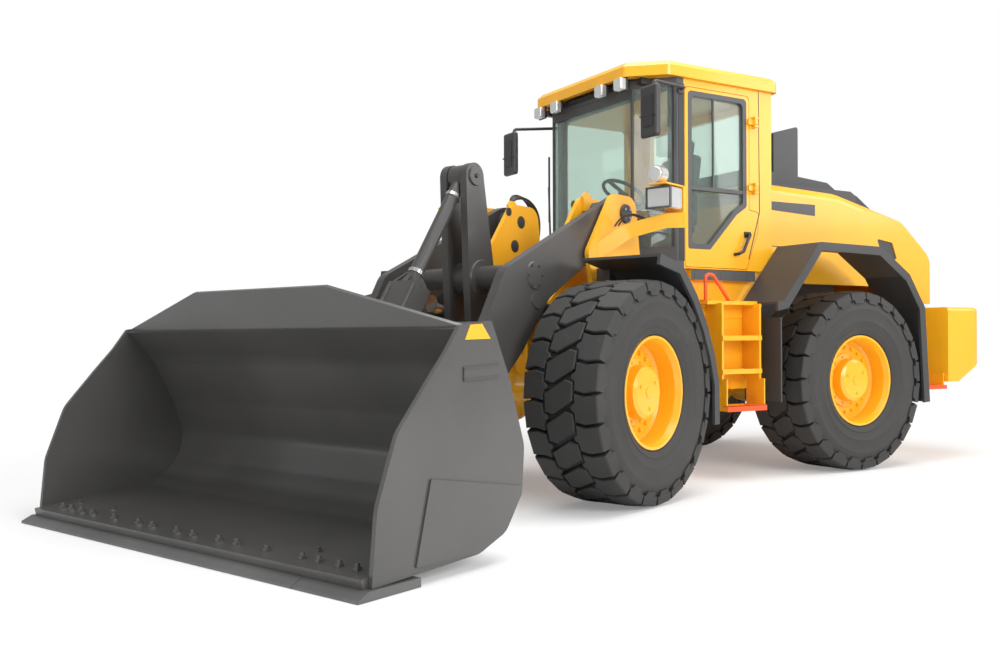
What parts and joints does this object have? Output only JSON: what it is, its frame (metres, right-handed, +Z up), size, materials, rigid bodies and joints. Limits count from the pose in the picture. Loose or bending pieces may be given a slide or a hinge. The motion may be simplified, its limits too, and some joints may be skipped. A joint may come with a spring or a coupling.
{
  "type": "articulated wheel loader",
  "caption": "Articulated wheel loader with a glazed cab, rear engine hood, loader arms with a tilt lever and link, and a broad straight-edged bucket resting on the ground.",
  "frame": {"origin": "on the ground below the middle of the parked machine, whose front unit is steered about 20 degrees to the left", "axes": "+X forward along the rear unit, +Y to its left, +Z up"},
  "size_m": [8.3372, 4.321, 3.4319],
  "materials": {
    "machine_yellow": "semi-gloss paint",
    "arm_grey": "satin dark paint",
    "bucket_steel": "worn dark paint",
    "edge_steel": "bare worn steel",
    "pin_steel": "ground and plated",
    "cylinder_black": "satin black paint",
    "fender_dark": "matte dark",
    "tyre_rubber": "matte rubber",
    "tinted_glass": "light green tint",
    "frame_grey": "satin grey paint",
    "interior_dark": "woven and moulded",
    "lamp_clear": "clear lens over a bright reflector",
    "rail_orange": "orange-red paint",
    "beacon_amber": "amber lens"
  },
  "bodies": {
    "rear_unit": {"rear_frame": "machine_yellow", "rear_axle": "machine_yellow", "engine_block": "frame_grey", "counterweight": "machine_yellow", "cab_base": "machine_yellow", "cab_shell": "machine_yellow", "cab_front_frame": "frame_grey", "cab_roof": "machine_yellow", "cab_glass": "tinted_glass", "rear_fenders": "fender_dark", "side_boxes": "machine_yellow", "access_steps": "machine_yellow", "handrails": "rail_orange", "operator_seat": "interior_dark", "steering_column": "interior_dark", "mirrors": "fender_dark", "work_lamps": "lamp_clear", "beacon": "beacon_amber"},
    "hood": {"engine_hood": "machine_yellow", "hood_deck": "fender_dark", "rear_grille": "fender_dark"},
    "door": {"cab_door": "machine_yellow", "door_frame": "frame_grey", "door_glass": "tinted_glass"},
    "front_unit": {"front_frame": "machine_yellow", "arm_towers": "machine_yellow", "front_axle": "machine_yellow", "front_fenders": "fender_dark", "lamp_brackets": "machine_yellow", "headlamps": "lamp_clear"},
    "arms": {"arm_left": "arm_grey", "arm_right": "arm_grey", "arm_cross_tube": "arm_grey"},
    "crank_carrier": {"crank_bushing": "pin_steel"},
    "crank": {"tilt_lever": "arm_grey"},
    "link_carrier": {"link_pin": "pin_steel"},
    "link": {"tilt_link": "arm_grey"},
    "bucket_carrier": {"bucket_pins": "pin_steel"},
    "bucket": {"bucket_shell": "bucket_steel", "cutting_edge": "edge_steel"},
    "tilt_carrier": {"tilt_tail_pin": "pin_steel"},
    "tilt_barrel": {"tilt_barrel": "cylinder_black"},
    "tilt_rod": {"tilt_rod": "pin_steel"},
    "wheel_front_left": {"tyre_front_left": "tyre_rubber", "rim_front_left": "machine_yellow"},
    "wheel_rear_left": {"tyre_rear_left": "tyre_rubber", "rim_rear_left": "machine_yellow"},
    "lift_barrel_left": {"lift_barrel_left": "cylinder_black"},
    "lift_rod_left": {"lift_rod_left": "pin_steel"},
    "steer_barrel_left": {"steer_barrel_left": "cylinder_black"},
    "steer_rod_left": {"steer_rod_left": "pin_steel"},
    "wheel_front_right": {"tyre_front_right": "tyre_rubber", "rim_front_right": "machine_yellow"},
    "wheel_rear_right": {"tyre_rear_right": "tyre_rubber", "rim_rear_right": "machine_yellow"},
    "lift_barrel_right": {"lift_barrel_right": "cylinder_black"},
    "lift_rod_right": {"lift_rod_right": "pin_steel"},
    "steer_barrel_right": {"steer_barrel_right": "cylinder_black"},
    "steer_rod_right": {"steer_rod_right": "pin_steel"}
  },
  "joints": [
    {"name": "articulation", "type": "hinge", "parent": "rear_unit", "child": "front_unit", "pos_m": [-0.595, -0.817, 0.768], "axis": [0, 0, 1], "range_deg": [-60.18, 19.82]},
    {"name": "wheel_front_left_spin", "type": "hinge", "parent": "front_unit", "child": "wheel_front_left", "pos_m": [0.55146, 0.70173, 0.768], "axis": [-0.345, 0.9386, 0], "continuous": true},
    {"name": "wheel_front_right_spin", "type": "hinge", "parent": "front_unit", "child": "wheel_front_right", "pos_m": [1.2621, -1.23182, 0.768], "axis": [-0.345, 0.9386, 0], "continuous": true},
    {"name": "wheel_rear_left_spin", "type": "hinge", "parent": "rear_unit", "child": "wheel_rear_left", "pos_m": [-2.195, 0.213, 0.768], "axis": [0, 1, 0], "continuous": true},
    {"name": "wheel_rear_right_spin", "type": "hinge", "parent": "rear_unit", "child": "wheel_rear_right", "pos_m": [-2.195, -1.847, 0.768], "axis": [0, 1, 0], "continuous": true},
    {"name": "door_swing", "type": "hinge", "parent": "rear_unit", "child": "door", "pos_m": [-1.38, 0.063, 2.4], "axis": [0, 0, 1], "range_deg": [0, 90]},
    {"name": "hood_tilt", "type": "hinge", "parent": "rear_unit", "child": "hood", "pos_m": [-3.985, -0.817, 1.58], "axis": [0, -1, 0], "range_deg": [0, 55]},
    {"name": "arm_lift", "type": "hinge", "parent": "front_unit", "child": "arms", "pos_m": [0.27791, -0.49618, 2.09], "axis": [0.345, -0.9386, 0], "range_deg": [-2, 78]},
    {"name": "bucket_pins_turn", "type": "hinge", "parent": "arms", "child": "bucket_carrier", "pos_m": [2.3147, 0.25241, 0.36], "axis": [-0.345, 0.9386, 0], "range_deg": [-2.1, 78.1]},
    {"name": "bucket_tilt", "type": "hinge", "parent": "bucket_carrier", "child": "bucket", "pos_m": [2.3147, 0.25241, 0.36], "axis": [-0.345, 0.9386, 0], "range_deg": [-45, 50]},
    {"name": "crank_bushing_turn", "type": "hinge", "parent": "arms", "child": "crank_carrier", "pos_m": [1.301, -0.12016, 1.57], "axis": [-0.345, 0.9386, 0], "range_deg": [-1.2, 43.16]},
    {"name": "tilt_lever_turn", "type": "hinge", "parent": "crank_carrier", "child": "crank", "pos_m": [1.301, -0.12016, 1.57], "axis": [-0.345, 0.9386, 0], "range_deg": [-25.76, 28.61]},
    {"name": "link_pin_turn", "type": "hinge", "parent": "crank", "child": "link_carrier", "pos_m": [1.37139, -0.09429, 2.29], "axis": [-0.345, 0.9386, 0], "range_deg": [-35.56, 1.01]},
    {"name": "tilt_link_turn", "type": "hinge", "parent": "link_carrier", "child": "link", "pos_m": [1.37139, -0.09429, 2.29], "axis": [-0.345, 0.9386, 0], "range_deg": [-27.75, 24.99]},
    {"name": "lift_barrel_left_turn", "type": "hinge", "parent": "front_unit", "child": "lift_barrel_left", "pos_m": [-0.08976, -0.16253, 1.05], "axis": [0.345, -0.9386, 0], "range_deg": [-1.25, 45.11]},
    {"name": "lift_rod_left_slide", "type": "slide", "parent": "lift_barrel_left", "child": "lift_rod_left", "axis": [0.9063, 0.3331, 0.26], "range_m": [-0.0251, 0.9424]},
    {"name": "lift_barrel_right_turn", "type": "hinge", "parent": "front_unit", "child": "lift_barrel_right", "pos_m": [0.21382, -0.98851, 1.05], "axis": [0.345, -0.9386, 0], "range_deg": [-1.25, 45.11]},
    {"name": "lift_rod_right_slide", "type": "slide", "parent": "lift_barrel_right", "child": "lift_rod_right", "axis": [0.9063, 0.3331, 0.26], "range_m": [-0.0251, 0.9424]},
    {"name": "tilt_pin_turn", "type": "hinge", "parent": "front_unit", "child": "tilt_carrier", "pos_m": [0.15589, -0.54102, 1.65], "axis": [-0.345, 0.9386, 0], "range_deg": [-68.81, 1.86]},
    {"name": "tilt_barrel_turn", "type": "hinge", "parent": "tilt_carrier", "child": "tilt_barrel", "pos_m": [0.15589, -0.54102, 1.65], "axis": [-0.345, 0.9386, 0], "range_deg": [-3.73, 4.13]},
    {"name": "tilt_rod_slide", "type": "slide", "parent": "tilt_barrel", "child": "tilt_rod", "axis": [0.8715, 0.3203, -0.3714], "range_m": [-0.1811, 0.1631]},
    {"name": "steer_barrel_left_turn", "type": "hinge", "parent": "rear_unit", "child": "steer_barrel_left", "pos_m": [-1.215, -0.417, 0.8], "axis": [0, 0, 1], "range_deg": [-23.65, 7.86]},
    {"name": "steer_rod_left_slide", "type": "slide", "parent": "steer_barrel_left", "child": "steer_rod_left", "axis": [0.9914, 0.1311, 0], "range_m": [-0.1355, 0.4093]},
    {"name": "steer_barrel_right_turn", "type": "hinge", "parent": "rear_unit", "child": "steer_barrel_right", "pos_m": [-1.215, -1.217, 0.8], "axis": [0, 0, 1], "range_deg": [-23.38, 7.77]},
    {"name": "steer_rod_right_slide", "type": "slide", "parent": "steer_barrel_right", "child": "steer_rod_right", "axis": [0.9899, 0.142, 0], "range_m": [-0.4237, 0.1402]}
  ],
  "couplings": [
    {"joint": "bucket_pins_turn", "follows": "arm_lift", "ratio": 1},
    {"joint": "crank_bushing_turn", "follows": "arm_lift", "ratio": 0.552},
    {"joint": "tilt_lever_turn", "follows": "bucket_tilt", "ratio": 0.5702},
    {"joint": "link_pin_turn", "follows": "arm_lift", "ratio": -0.4546},
    {"joint": "tilt_link_turn", "follows": "bucket_tilt", "ratio": -0.5531},
    {"joint": "lift_barrel_left_turn", "follows": "arm_lift", "ratio": 0.577},
    {"joint": "lift_rod_left_slide", "follows": "arm_lift", "m_per_rad": 0.6915},
    {"joint": "lift_barrel_right_turn", "follows": "arm_lift", "ratio": 0.577},
    {"joint": "lift_rod_right_slide", "follows": "arm_lift", "m_per_rad": 0.6915},
    {"joint": "tilt_pin_turn", "follows": "arm_lift", "ratio": -0.8809},
    {"joint": "tilt_barrel_turn", "follows": "bucket_tilt", "ratio": 0.0806},
    {"joint": "tilt_rod_slide", "follows": "bucket_tilt", "m_per_rad": -0.2064},
    {"joint": "steer_barrel_left_turn", "follows": "articulation", "ratio": 0.3914},
    {"joint": "steer_rod_left_slide", "follows": "articulation", "m_per_rad": -0.3887},
    {"joint": "steer_barrel_right_turn", "follows": "articulation", "ratio": 0.3869},
    {"joint": "steer_rod_right_slide", "follows": "articulation", "m_per_rad": 0.4024}
  ]
}
